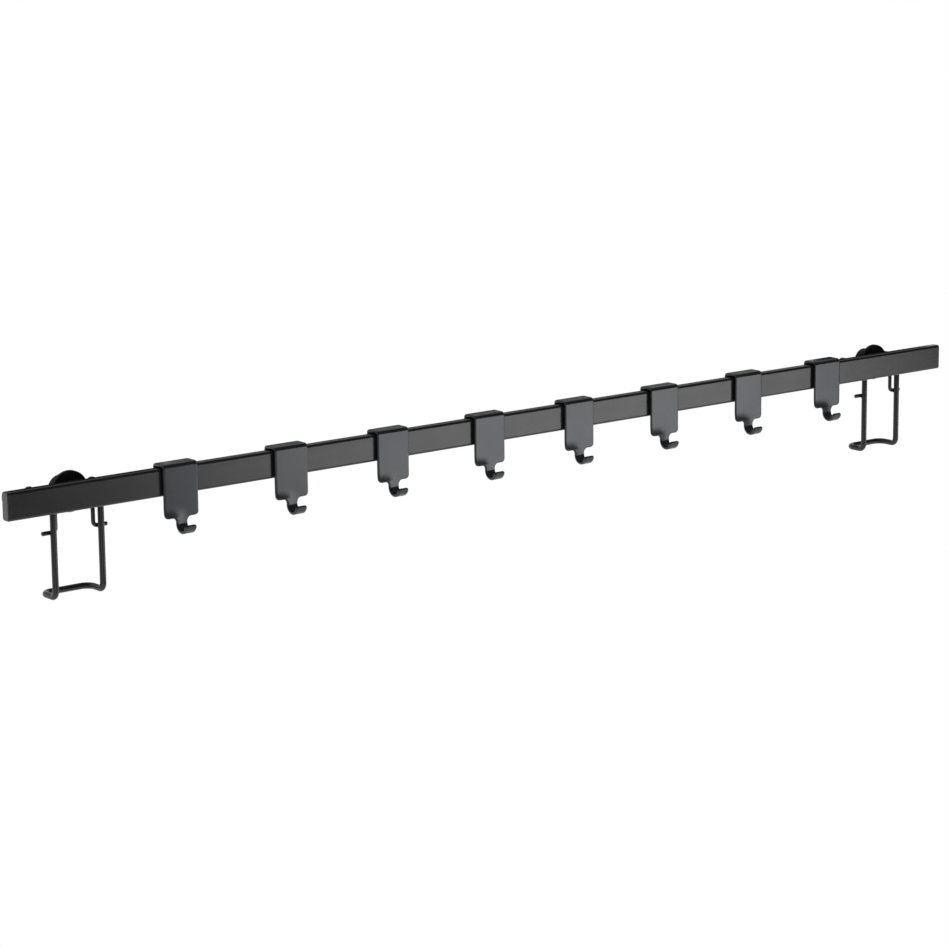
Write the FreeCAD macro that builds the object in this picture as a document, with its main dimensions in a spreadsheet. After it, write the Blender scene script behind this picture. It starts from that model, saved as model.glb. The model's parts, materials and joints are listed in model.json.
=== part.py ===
import FreeCAD, Part
import math
import os

import Sketcher

# Kitchen utensil rail for a wall: a flat tube with end caps, eight folded hooks that slide along it, and at each
# end a bent-wire bracket that hangs by a thin wire loop on the round button of a small wall plate.
# Millimetres. X runs along the rail, Y points into the wall and Z points up. The origin is on the wall's surface,
# midway between the two wall plates, at the height of the rail's middle.

HOOK_COUNT = 8
SIDES = {"left": -1, "right": 1}

SIZES = (
    ("rail_length", 900.0, "rail, over its end caps"),
    ("rail_height", 20.0, "height of the rail's section"),
    ("rail_depth", 8.0, "depth of the rail's section"),
    ("rail_wall", 1.2, "wall of the tube"),
    ("rail_corner", 2.0, "outer corner radius of the tube"),
    ("rail_inner_corner", 0.8, "inner corner radius of the tube"),
    ("cap_flange", 3.0, "part of an end cap that shows beyond the tube"),
    ("cap_edge", 1.0, "rounding of an end cap's outer edge"),
    ("cap_plug", 10.0, "part of an end cap inside the tube"),
    ("cap_clearance", 0.1, "gap between plug and tube, all round"),
    ("wall_standoff", 23.0, "from the wall to the back of the rail"),
    ("bracket_inset", 59.5, "from the rail's end to the middle of a bracket"),
    ("weld_gap", 0.05, "weld seam between touching pieces of wire and tube"),
    ("frame_wire", 4.5, "diameter of the bracket's thick wire"),
    ("frame_bend", 7.0, "bend radius of the crossbar's ends, at the wire's middle"),
    ("leg_bend", 4.6, "bend radius at the foot of a leg, at the wire's middle"),
    ("leg_spacing", 38.0, "between the middles of a bracket's legs"),
    ("leg_rise", 7.5, "top of the legs above the rail's middle"),
    ("leg_drop", 72.6, "lowest point of the legs below the rail's middle"),
    ("loop_wire", 3.0, "diameter of the hanger loop's thin wire"),
    ("loop_bend", 3.0, "bend radius of the thin wire, at its middle"),
    ("loop_clearance", 0.15, "gap between loop and button neck"),
    ("foot_span", 52.0, "from tip to tip of the hanger loop's feet"),
    ("foot_drop", 25.4, "the feet below the rail's middle"),
    ("riser_spacing", 30.0, "between the loop's risers"),
    ("lean_drop", 13.0, "where the risers lean back to the wall, below the rail's middle"),
    ("shoulder_drop", 6.0, "where the risers turn in to the arch, below the rail's middle"),
    ("arch_drop", 2.0, "lower ends of the arch, below the rail's middle"),
    ("wire_tip", 0.6, "rounding of a cut wire end"),
    ("plate_length", 92.0, "wall plate along the rail"),
    ("plate_height", 8.0, "height of the wall plate's arms"),
    ("plate_thickness", 4.0, "thickness of the wall plate"),
    ("plate_corner", 2.5, "corner radius of the wall plate's arms"),
    ("plate_edge", 0.5, "rounding of the base disc's front edge"),
    ("ear_spacing", 50.0, "between a wall plate's two screw holes"),
    ("ear_diameter", 10.0, "ears round the screw holes"),
    ("screw_hole", 4.2, "screw hole in a wall plate"),
    ("base_diameter", 20.0, "round base that backs the hanger loop"),
    ("base_thickness", 2.0, "base in front of the wall plate's arms"),
    ("neck_diameter", 14.0, "neck that the loop hangs on"),
    ("neck_length", 4.5, "neck between base and button"),
    ("button_diameter", 29.0, "button's flange, which keeps the loop on the neck"),
    ("button_thickness", 3.0, "button's flange"),
    ("button_edge", 0.8, "rounding of the button's edges"),
    ("boss_diameter", 16.0, "step on the button's front"),
    ("boss_height", 1.4, "step on the button's front"),
    ("pin_diameter", 4.0, "shank of the screw that holds the button"),
    ("pin_head", 8.0, "head of that screw"),
    ("pin_head_height", 2.0, "countersunk head of that screw"),
    ("pin_depth", 6.0, "how far that screw goes into the neck"),
    ("pin_clearance", 0.1, "gap round that screw in the button"),
    ("pin_slot", 1.0, "driver slot across the screw's head, its width and depth"),
    ("hook_width", 28.4, "width of a hook's plate"),
    ("hook_sheet", 2.2, "sheet that the hooks are folded from"),
    ("hook_bend", 0.6, "inner radius of the two folds over the rail"),
    ("hook_seat_gap", 0.6, "gap between the fold and the rail's top"),
    ("hook_rear_gap", 0.4, "gap between the return lip and the rail's back"),
    ("hook_front_gap", 1.0, "gap between the plate and the rail's front"),
    ("hook_lip", 9.0, "straight part of the return lip behind the rail"),
    ("hook_plate_drop", 15.7, "lower edge of the plate below the rail"),
    ("hook_corner", 3.0, "rounding of the plate's lower corners"),
    ("neck_width", 9.2, "width of the hook's neck and curl"),
    ("neck_fillet", 3.4, "fillet between plate and neck"),
    ("curl_drop", 19.4, "middle of the curl below the rail"),
    ("curl_radius", 4.8, "inner radius of the curl"),
    ("curl_sweep", 158.0, "degrees that the curl turns"),
    ("curl_tip", 2.2, "straight tip of the curl"),
    ("curl_corner", 1.8, "rounding of the tip's corners"),
    ("hook_1_place", -314.0, "middle of each hook along the rail"),
    ("hook_2_place", -220.0, "second hook"),
    ("hook_3_place", -129.0, "third hook"),
    ("hook_4_place", -38.5, "fourth hook"),
    ("hook_5_place", 49.5, "fifth hook"),
    ("hook_6_place", 137.0, "sixth hook"),
    ("hook_7_place", 227.0, "seventh hook"),
    ("hook_8_place", 315.0, "eighth hook"),
)

doc = FreeCAD.newDocument("UtensilRail")
sheet = doc.addObject("Spreadsheet::Sheet", "Sizes")
for row, (alias, value, meaning) in enumerate(SIZES, start=1):
    sheet.set(f"A{row}", meaning)
    sheet.set(f"B{row}", str(value))
    sheet.setAlias(f"B{row}", alias)
doc.recompute()

sub_parts = []


def size(alias):
    """A driving dimension, read from the sheet."""
    return float(sheet.get(alias))


def worked_out(expression):
    """The number that a sheet expression stands for."""
    return float(sheet.evalExpression(expression.replace("Sizes.", "")))


# Sketches and features


def new_body(label):
    """An empty body whose label names its file."""
    body = doc.addObject("PartDesign::Body", label)
    body.Label = label
    sub_parts.append(body)
    return body


def origin_plane(body, role):
    """One of the body's own origin planes."""
    return next(f for f in body.Origin.OriginFeatures if f.Role == role)


def new_sketch(body, name, role):
    """A sketch on one of the body's origin planes."""
    sketch = body.newObject("Sketcher::SketchObject", name)
    sketch.AttachmentSupport = [(origin_plane(body, role), "")]
    sketch.MapMode = "FlatFace"
    return sketch


def dimension(sketch, kind, name, expression, *where):
    """A named sketch dimension, bound to the sheet."""
    value = worked_out(expression)
    if kind == "Angle":
        value = math.radians(value)
    index = sketch.addConstraint(Sketcher.Constraint(kind, *where, value))
    sketch.renameConstraint(index, name)
    sketch.setExpression(f"Constraints.{name}", expression)


def polygon(body, name, role, corners):
    """A closed outline on an origin plane. Each corner is a pair of sheet expressions."""
    sketch = new_sketch(body, name, role)
    points = [FreeCAD.Vector(worked_out(x), worked_out(y), 0) for x, y in corners]
    count = len(points)
    for i in range(count):
        sketch.addGeometry(Part.LineSegment(points[i], points[(i + 1) % count]), False)
    for i in range(count):
        sketch.addConstraint(Sketcher.Constraint("Coincident", i, 2, (i + 1) % count, 1))
    for i, (x, y) in enumerate(corners):
        dimension(sketch, "DistanceX", f"across_{i}", x, -1, 1, i, 1)
        dimension(sketch, "DistanceY", f"along_{i}", y, -1, 1, i, 1)
    return sketch


def rectangle(body, name, role, width, height):
    """A rectangle about the plane's origin, from two sheet expressions."""
    corners = [(f"{a}({width}) / 2", f"{b}({height}) / 2") for a, b in (("-", "-"), ("", "-"), ("", ""), ("-", ""))]
    return polygon(body, name, role, corners)


def circles(body, name, role, diameter, middles):
    """Equal circles on an origin plane, at places given as sheet expressions along its first axis."""
    sketch = new_sketch(body, name, role)
    for i, middle in enumerate(middles):
        centre = FreeCAD.Vector(worked_out(middle), 0, 0)
        radius = worked_out(diameter) / 2
        sketch.addGeometry(Part.Circle(centre, FreeCAD.Vector(0, 0, 1), radius), False)
        sketch.addConstraint(Sketcher.Constraint("PointOnObject", i, 3, -1))
        dimension(sketch, "DistanceX", f"middle_{i}", middle, -1, 1, i, 3)
        dimension(sketch, "Diameter", f"across_{i}", diameter, i)
    return sketch


def pad(body, name, sketch, length, side="One side", backwards=False):
    """Material up to a length from the sheet."""
    feature = body.newObject("PartDesign::Pad", name)
    feature.Profile = sketch
    feature.SideType = side
    feature.Reversed = backwards
    feature.setExpression("Length", length)
    doc.recompute()
    return feature


def pocket(body, name, sketch):
    """A cut right through, both ways from its sketch."""
    feature = body.newObject("PartDesign::Pocket", name)
    feature.Profile = sketch
    feature.Type = "ThroughAll"
    feature.SideType = "Symmetric"
    doc.recompute()
    return feature


def revolution(body, name, sketch, axis):
    """A full turn of an outline about one of its sketch axes."""
    feature = body.newObject("PartDesign::Revolution", name)
    feature.Profile = sketch
    feature.ReferenceAxis = (sketch, [axis])
    feature.Angle = 360
    doc.recompute()
    return feature


def fillet(body, name, radius, chosen):
    """Rounds the edges of the body's tip that a test picks."""
    base = body.Tip
    edges = [f"Edge{i}" for i, edge in enumerate(base.Shape.Edges, start=1) if chosen(edge)]
    if not edges:
        raise RuntimeError(f"{body.Label}: no edge found for {name}")
    feature = body.newObject("PartDesign::Fillet", name)
    feature.Base = (base, edges)
    feature.setExpression("Radius", radius)
    doc.recompute()
    return feature


def direction(edge):
    """Unit vector from an edge's first end to its last."""
    first, last = edge.Vertexes[0].Point, edge.Vertexes[-1].Point
    return (last - first).normalize() if (last - first).Length > 0 else FreeCAD.Vector()


def runs_along(axis):
    """A test for straight edges along an axis."""
    return lambda edge: edge.Curve.TypeId == "Part::GeomLine" and abs(direction(edge).dot(axis)) > 0.999


def near(value, target):
    """True where two lengths agree."""
    return abs(value - target) < 1e-4


X_AXIS = FreeCAD.Vector(1, 0, 0)
Y_AXIS = FreeCAD.Vector(0, 1, 0)
RAIL_MIDDLE_Y = "-(Sizes.wall_standoff + Sizes.rail_depth / 2)"
TUBE_LENGTH = "Sizes.rail_length - 2 * Sizes.cap_flange"
BRACKET_PLACE = "(Sizes.rail_length / 2 - Sizes.bracket_inset)"


# The rail and its end caps


def build_rail():
    """A rectangular tube with rounded corners."""
    body = new_body("rail")
    outline = rectangle(body, "rail_outline", "YZ_Plane", "Sizes.rail_depth", "Sizes.rail_height")
    pad(body, "rail_pad", outline, TUBE_LENGTH, "Symmetric")
    fillet(body, "rail_corners", "Sizes.rail_corner", runs_along(X_AXIS))
    hollow = rectangle(body, "rail_hollow", "YZ_Plane", "Sizes.rail_depth - 2 * Sizes.rail_wall",
                       "Sizes.rail_height - 2 * Sizes.rail_wall")
    pocket(body, "rail_bore", hollow)
    inner = size("rail_height") / 2 - size("rail_wall")
    along_x = runs_along(X_AXIS)
    fillet(body, "rail_inner_corners", "Sizes.rail_inner_corner",
           lambda edge: along_x(edge) and near(abs(edge.CenterOfMass.z), inner))
    body.setExpression("Placement.Base.y", RAIL_MIDDLE_Y)


def build_end_cap(side, sign):
    """A moulded plug: a flange the size of the tube and a tongue inside it."""
    body = new_body(f"end_cap_{side}")
    face = rectangle(body, "flange_outline", "YZ_Plane", "Sizes.rail_depth", "Sizes.rail_height")
    pad(body, "flange", face, "Sizes.cap_flange")
    fillet(body, "flange_corners", "Sizes.rail_corner", runs_along(X_AXIS))
    outer_face = size("cap_flange")
    fillet(body, "flange_edge", "Sizes.cap_edge",
           lambda edge: all(near(v.Point.x, outer_face) for v in edge.Vertexes))
    slack = "2 * (Sizes.rail_wall + Sizes.cap_clearance)"
    tongue = rectangle(body, "tongue_outline", "YZ_Plane", f"Sizes.rail_depth - {slack}",
                       f"Sizes.rail_height - {slack}")
    pad(body, "tongue", tongue, "Sizes.cap_plug", backwards=True)
    deepest = -size("cap_plug")
    along_x = runs_along(X_AXIS)
    fillet(body, "tongue_corners", "Sizes.rail_inner_corner",
           lambda edge: along_x(edge) and edge.BoundBox.XMin < deepest + 1e-4)
    body.Placement.Rotation = FreeCAD.Rotation(FreeCAD.Vector(0, 0, 1), 0 if sign > 0 else 180)
    body.setExpression("Placement.Base.x", f"{sign} * ({TUBE_LENGTH}) / 2")
    body.setExpression("Placement.Base.y", RAIL_MIDDLE_Y)


# The hooks, each folded from one strip

FOLD_RADIUS = "(Sizes.hook_bend + Sizes.hook_sheet / 2)"
LIP_BACK = "(Sizes.wall_standoff - Sizes.hook_rear_gap - Sizes.hook_sheet / 2)"
PLATE_FRONT = "(Sizes.wall_standoff + Sizes.rail_depth + Sizes.hook_front_gap + Sizes.hook_sheet / 2)"
FOLD_HEIGHT = "(Sizes.rail_height / 2 + Sizes.hook_seat_gap + Sizes.hook_sheet / 2)"
CURL_HEIGHT = "(Sizes.rail_height / 2 + Sizes.curl_drop)"
PLATE_FOOT = "(Sizes.rail_height / 2 + Sizes.hook_plate_drop)"
CURL_MIDDLE_RADIUS = "(Sizes.curl_radius + Sizes.hook_sheet / 2)"


def hook_path(body):
    """The strip's middle line, seen from the side: lip, fold, top, fold, plate, curl and tip."""
    sketch = new_sketch(body, "fold_line", "YZ_Plane")
    fold, curl = worked_out(FOLD_RADIUS), worked_out(CURL_MIDDLE_RADIUS)
    lip_y, plate_y = -worked_out(LIP_BACK), -worked_out(PLATE_FRONT)
    top_z, curl_z = worked_out(FOLD_HEIGHT), -worked_out(CURL_HEIGHT)
    sweep = math.radians(size("curl_sweep"))
    normal = FreeCAD.Vector(0, 0, 1)

    def line(y0, z0, y1, z1):
        sketch.addGeometry(Part.LineSegment(FreeCAD.Vector(y0, z0, 0), FreeCAD.Vector(y1, z1, 0)), False)

    def arc(y, z, radius, start, end):
        circle = Part.Circle(FreeCAD.Vector(y, z, 0), normal, radius)
        sketch.addGeometry(Part.ArcOfCircle(circle, start, end), False)

    lip, rear_fold, top, front_fold, plate, curl_arc, tip = range(7)
    line(lip_y, top_z - fold - size("hook_lip"), lip_y, top_z - fold)
    arc(lip_y - fold, top_z - fold, fold, 0, math.pi / 2)
    line(lip_y - fold, top_z, plate_y + fold, top_z)
    arc(plate_y + fold, top_z - fold, fold, math.pi / 2, math.pi)
    line(plate_y, top_z - fold, plate_y, curl_z)
    arc(plate_y - curl, curl_z, curl, -sweep, 0)
    tip_y = plate_y - curl + curl * math.cos(sweep)
    tip_z = curl_z - curl * math.sin(sweep)
    reach = size("curl_tip")
    line(tip_y, tip_z, tip_y - reach * math.sin(sweep), tip_z - reach * math.cos(sweep))

    joins = ((lip, 2, rear_fold, 1), (rear_fold, 2, top, 1), (top, 2, front_fold, 1), (front_fold, 2, plate, 1),
             (plate, 2, curl_arc, 2), (curl_arc, 1, tip, 1))
    for join in joins:
        sketch.addConstraint(Sketcher.Constraint("Tangent", *join))
    sketch.addConstraint(Sketcher.Constraint("Vertical", lip))
    sketch.addConstraint(Sketcher.Constraint("Horizontal", top))
    sketch.addConstraint(Sketcher.Constraint("Vertical", plate))
    sketch.addConstraint(Sketcher.Constraint("Equal", rear_fold, front_fold))
    dimension(sketch, "Radius", "fold", FOLD_RADIUS, rear_fold)
    dimension(sketch, "Radius", "curl", CURL_MIDDLE_RADIUS, curl_arc)
    dimension(sketch, "DistanceX", "lip_back", LIP_BACK, lip, 1, -1, 1)
    dimension(sketch, "DistanceY", "lip_length", "Sizes.hook_lip", lip, 1, lip, 2)
    dimension(sketch, "DistanceY", "fold_height", FOLD_HEIGHT, -1, 1, top, 1)
    dimension(sketch, "DistanceX", "plate_front", PLATE_FRONT, plate, 1, -1, 1)
    dimension(sketch, "DistanceY", "curl_height", CURL_HEIGHT, plate, 2, -1, 1)
    dimension(sketch, "Angle", "tip_lean", "270 - Sizes.curl_sweep", tip)
    dimension(sketch, "Distance", "tip_length", "Sizes.curl_tip", tip)
    return sketch


def build_hook(number):
    """A strip swept along its fold line, cut down to a neck below the plate and rounded at its corners."""
    body = new_body(f"hook_{number}")
    path = hook_path(body)
    edge_y = [f"-{LIP_BACK} {side} Sizes.hook_sheet / 2" for side in "-+"]
    half_width = "Sizes.hook_width / 2"
    section = polygon(body, "strip_section", "XY_Plane",
                      [(f"-{half_width}", edge_y[0]), (half_width, edge_y[0]),
                       (half_width, edge_y[1]), (f"-{half_width}", edge_y[1])])
    section.setExpression("AttachmentOffset.Base.z", f"{FOLD_HEIGHT} - {FOLD_RADIUS} - Sizes.hook_lip")
    strip = body.newObject("PartDesign::AdditivePipe", "strip")
    strip.Profile = section
    strip.Spine = (path, [f"Edge{i}" for i in range(1, 8)])
    doc.recompute()

    half_neck = "Sizes.neck_width / 2"
    below = f"-{CURL_HEIGHT} - Sizes.curl_radius - 2 * Sizes.hook_sheet"
    beside = "Sizes.hook_width"
    waste = polygon(body, "neck_waste", "XZ_Plane",
                    [(half_neck, f"-{PLATE_FOOT}"), (half_neck, below), (beside, below), (beside, f"-{PLATE_FOOT}")])
    cut = pocket(body, "neck_cut", waste)
    mirror = body.newObject("PartDesign::Mirrored", "neck_cut_mirrored")
    mirror.Originals = [cut]
    mirror.MirrorPlane = (origin_plane(body, "YZ_Plane"), [""])
    body.Tip = mirror
    doc.recompute()

    sheet_thickness = size("hook_sheet")
    foot_z = -worked_out(PLATE_FOOT)
    plate_y = -worked_out(PLATE_FRONT)

    def across_sheet(edge):
        return near(edge.Length, sheet_thickness)

    def plate_corner(half):
        return lambda edge: (across_sheet(edge) and near(edge.CenterOfMass.z, foot_z)
                             and near(abs(edge.CenterOfMass.x), half))

    fillet(body, "plate_corners", "Sizes.hook_corner", plate_corner(size("hook_width") / 2))
    fillet(body, "neck_fillets", "Sizes.neck_fillet", plate_corner(size("neck_width") / 2))
    front_of_curl = plate_y - worked_out(CURL_MIDDLE_RADIUS)
    tip_top = max(v.Point.z for v in body.Tip.Shape.Vertexes if v.Point.y < front_of_curl)
    sweep = math.radians(size("curl_sweep"))
    tip_way = FreeCAD.Vector(0, -math.sin(sweep), -math.cos(sweep))
    fillet(body, "tip_corners", "Sizes.curl_corner",
           lambda edge: across_sheet(edge) and edge.CenterOfMass.y < front_of_curl
           and edge.BoundBox.ZMax > tip_top - sheet_thickness and abs(direction(edge).dot(tip_way)) < 0.01)
    body.setExpression("Placement.Base.x", f"Sizes.hook_{number}_place")


# Bent wire


def bent_wire(label, corners, radii, diameter):
    """A round wire along straight runs joined by tangent arcs, with its cut ends rounded."""
    edges = []
    start = corners[0]
    for before, corner, after, radius in zip(corners, corners[1:], corners[2:], radii):
        back = (before - corner).normalize()
        ahead = (after - corner).normalize()
        half_turn = (math.pi - back.getAngle(ahead)) / 2
        reach = radius * math.tan(half_turn)
        entry, leave = corner + back * reach, corner + ahead * reach
        middle_way = (back + ahead).normalize()
        middle = corner + middle_way * (radius / math.cos(half_turn) - radius)
        if (entry - start).Length > 1e-6:
            edges.append(Part.LineSegment(start, entry).toShape())
        edges.append(Part.Arc(entry, middle, leave).toShape())
        start = leave
    edges.append(Part.LineSegment(start, corners[-1]).toShape())
    spine = Part.Wire(edges)
    along = (corners[1] - corners[0]).normalize()
    section = Part.Wire([Part.Circle(corners[0], along, diameter / 2).toShape()])
    solid = spine.makePipeShell([section], True, False)
    expected = math.pi * diameter ** 2 / 4 * spine.Length
    if abs(solid.Volume - expected) > 0.01 * expected:
        raise RuntimeError(f"{label}: the wire's volume is off")
    tips = (corners[0], corners[-1])
    rims = [edge for edge in solid.Edges if edge.isClosed() and edge.Curve.TypeId == "Part::GeomCircle"
            and any((edge.Curve.Center - tip).Length < 1e-3 for tip in tips)]
    feature = doc.addObject("Part::Feature", label)
    feature.Label = label
    feature.Shape = solid.makeFillet(size("wire_tip"), rims)
    sub_parts.append(feature)
    return feature


def leg_depth():
    """Y of the middle of a bracket's legs, which are welded to the rail's back."""
    return -size("wall_standoff") + size("weld_gap") + size("frame_wire") / 2


def build_bracket_frame(side, sign):
    """Two legs that turn back to the wall, and the crossbar that joins them there."""
    half = size("leg_spacing") / 2
    front, back = leg_depth(), -size("frame_wire") / 2
    top, low = size("leg_rise"), -size("leg_drop") + size("frame_wire") / 2
    corners = [FreeCAD.Vector(*p) for p in ((-half, front, top), (-half, front, low), (-half, back, low),
                                            (half, back, low), (half, front, low), (half, front, top))]
    leg_bend, corner_bend = size("leg_bend"), size("frame_bend")
    radii = [leg_bend, corner_bend, corner_bend, leg_bend]
    frame = bent_wire(f"bracket_frame_{side}", corners, radii, size("frame_wire"))
    frame.setExpression("Placement.Base.x", f"{sign} * {BRACKET_PLACE}")


def arch_radius():
    """Radius of the loop's arch over the button's neck, at the wire's middle."""
    return size("neck_diameter") / 2 + size("loop_clearance") + size("loop_wire") / 2


def build_hanger_loop(side, sign):
    """Feet welded behind the legs, risers that lean back to the wall, and an arch over the button's neck."""
    arch, bend = arch_radius(), size("loop_bend")
    foot_y = leg_depth() + (size("frame_wire") + size("loop_wire")) / 2 + size("weld_gap")
    arch_y = -(size("plate_thickness") + size("base_thickness") + size("neck_length") / 2)
    foot_z, riser_x = -size("foot_drop"), size("riser_spacing") / 2
    right_half = ((size("foot_span") / 2, foot_y, foot_z), (riser_x, foot_y, foot_z),
                  (riser_x, foot_y, -size("lean_drop")), (riser_x, arch_y, -size("shoulder_drop")),
                  (arch, arch_y, -size("arch_drop")), (arch, arch_y, arch))
    corners = [FreeCAD.Vector(*p) for p in right_half]
    corners += [FreeCAD.Vector(-p.x, p.y, p.z) for p in reversed(corners)]
    half_radii = [bend, bend, bend, bend, arch]
    loop = bent_wire(f"hanger_loop_{side}", corners, half_radii + half_radii[::-1], size("loop_wire"))
    loop.setExpression("Placement.Base.x", f"{sign} * {BRACKET_PLACE}")


# The wall plates and their buttons

NECK_FRONT = "(Sizes.plate_thickness + Sizes.base_thickness + Sizes.neck_length)"


def build_wall_plate(side, sign):
    """Slim arms with two screw ears, a round base and the neck that the loop hangs on."""
    body = new_body(f"wall_plate_{side}")
    arms = rectangle(body, "arms_outline", "XZ_Plane", "Sizes.plate_length", "Sizes.plate_height")
    pad(body, "arms", arms, "Sizes.plate_thickness")
    fillet(body, "arm_corners", "Sizes.plate_corner", runs_along(Y_AXIS))
    ear_places = ["-Sizes.ear_spacing / 2", "Sizes.ear_spacing / 2"]
    ears = circles(body, "ear_outlines", "XZ_Plane", "Sizes.ear_diameter", ear_places)
    pad(body, "ears", ears, "Sizes.plate_thickness")
    base = circles(body, "base_outline", "XZ_Plane", "Sizes.base_diameter", ["0"])
    pad(body, "base", base, "Sizes.plate_thickness + Sizes.base_thickness")
    base_front = -(size("plate_thickness") + size("base_thickness"))
    fillet(body, "base_edge", "Sizes.plate_edge",
           lambda edge: edge.isClosed() and near(edge.CenterOfMass.y, base_front))
    neck = circles(body, "neck_outline", "XZ_Plane", "Sizes.neck_diameter", ["0"])
    pad(body, "neck", neck, NECK_FRONT)
    holes = circles(body, "screw_holes", "XZ_Plane", "Sizes.screw_hole", ear_places)
    pocket(body, "screw_hole_cut", holes)
    pilot = polygon(body, "pilot_outline", "YZ_Plane",
                    [(f"-{NECK_FRONT}", "0"), (f"-{NECK_FRONT}", "Sizes.pin_diameter / 2"),
                     (f"-{NECK_FRONT} + Sizes.pin_depth", "Sizes.pin_diameter / 2"),
                     (f"-{NECK_FRONT} + Sizes.pin_depth", "0")])
    groove = body.newObject("PartDesign::Groove", "pilot_hole")
    groove.Profile = pilot
    groove.ReferenceAxis = (pilot, ["H_Axis"])
    groove.Angle = 360
    doc.recompute()
    body.setExpression("Placement.Base.x", f"{sign} * {BRACKET_PLACE}")


BUTTON_FRONT = f"({NECK_FRONT} + Sizes.button_thickness + Sizes.boss_height)"
BORE = "(Sizes.pin_diameter / 2 + Sizes.pin_clearance)"
SINK = "(Sizes.pin_head / 2 + Sizes.pin_clearance)"


def build_hanger_button(side, sign):
    """A turned button: a flange, a stepped front and a countersunk hole for its screw."""
    body = new_body(f"hanger_button_{side}")
    flange_front = f"-{NECK_FRONT} - Sizes.button_thickness"
    sink_floor = f"-{BUTTON_FRONT} + Sizes.pin_head_height + Sizes.pin_clearance"
    outline = polygon(body, "button_outline", "YZ_Plane",
                      [(f"-{NECK_FRONT}", BORE), (f"-{NECK_FRONT}", "Sizes.button_diameter / 2"),
                       (flange_front, "Sizes.button_diameter / 2"), (flange_front, "Sizes.boss_diameter / 2"),
                       (f"-{BUTTON_FRONT}", "Sizes.boss_diameter / 2"), (f"-{BUTTON_FRONT}", SINK),
                       (sink_floor, BORE)])
    revolution(body, "button_turned", outline, "H_Axis")
    outer_rims = (size("button_diameter") / 2, size("boss_diameter") / 2)
    front_faces = (worked_out(flange_front), -worked_out(BUTTON_FRONT))

    def front_rim(edge):
        return edge.Curve.TypeId == "Part::GeomCircle" and any(
            near(edge.Curve.Radius, rim) and near(edge.Curve.Center.y, front)
            for rim, front in zip(outer_rims, front_faces))

    fillet(body, "button_rims", "Sizes.button_edge", front_rim)
    body.setExpression("Placement.Base.x", f"{sign} * {BRACKET_PLACE}")


def build_button_screw(side, sign):
    """A countersunk screw with a plain slot, flush with the button's front."""
    body = new_body(f"button_screw_{side}")
    outline = polygon(body, "screw_outline", "YZ_Plane",
                      [(f"-{BUTTON_FRONT}", "0"), (f"-{BUTTON_FRONT}", "Sizes.pin_head / 2"),
                       (f"-{BUTTON_FRONT} + Sizes.pin_head_height", "Sizes.pin_diameter / 2"),
                       (f"-{NECK_FRONT} + Sizes.pin_depth", "Sizes.pin_diameter / 2"),
                       (f"-{NECK_FRONT} + Sizes.pin_depth", "0")])
    revolution(body, "screw_turned", outline, "H_Axis")
    slot = polygon(body, "slot_outline", "YZ_Plane",
                   [(f"-{BUTTON_FRONT} - Sizes.pin_slot", "-Sizes.pin_slot / 2"),
                    (f"-{BUTTON_FRONT} + Sizes.pin_slot", "-Sizes.pin_slot / 2"),
                    (f"-{BUTTON_FRONT} + Sizes.pin_slot", "Sizes.pin_slot / 2"),
                    (f"-{BUTTON_FRONT} - Sizes.pin_slot", "Sizes.pin_slot / 2")])
    pocket(body, "slot_cut", slot)
    body.setExpression("Placement.Base.x", f"{sign} * {BRACKET_PLACE}")


build_rail()
for number in range(1, HOOK_COUNT + 1):
    build_hook(number)
for side, sign in SIDES.items():
    build_end_cap(side, sign)
    build_bracket_frame(side, sign)
    build_hanger_loop(side, sign)
    build_wall_plate(side, sign)
    build_hanger_button(side, sign)
    build_button_screw(side, sign)
doc.recompute()

for item in doc.Objects:
    if {"Invalid", "Error"} & set(item.State):
        raise RuntimeError(f"{item.Label} failed: {item.State}")
for part in sub_parts:
    if part.Shape.isNull() or not part.Shape.isValid() or len(part.Shape.Solids) != 1:
        raise RuntimeError(f"{part.Label} is not one valid solid")

os.makedirs("parts", exist_ok=True)
for part in sub_parts:
    part.Shape.exportStep(f"parts/{part.Label}.step")
    box = part.Shape.BoundBox
    print(f"{part.Label}: {part.Shape.Volume:.1f} mm3, x {box.XMin:.2f} to {box.XMax:.2f}, "
          f"y {box.YMin:.2f} to {box.YMax:.2f}, z {box.ZMin:.2f} to {box.ZMax:.2f}")
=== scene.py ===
"""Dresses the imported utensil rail: drawn tube, folded hooks, bent wire with its welds, moulded end caps,
satin black paint, and the studio that it is photographed in."""

import json
import math

import bmesh
import bpy
from bpy.props import FloatProperty, FloatVectorProperty, IntProperty, PointerProperty
from mathutils import Matrix, Vector

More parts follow.
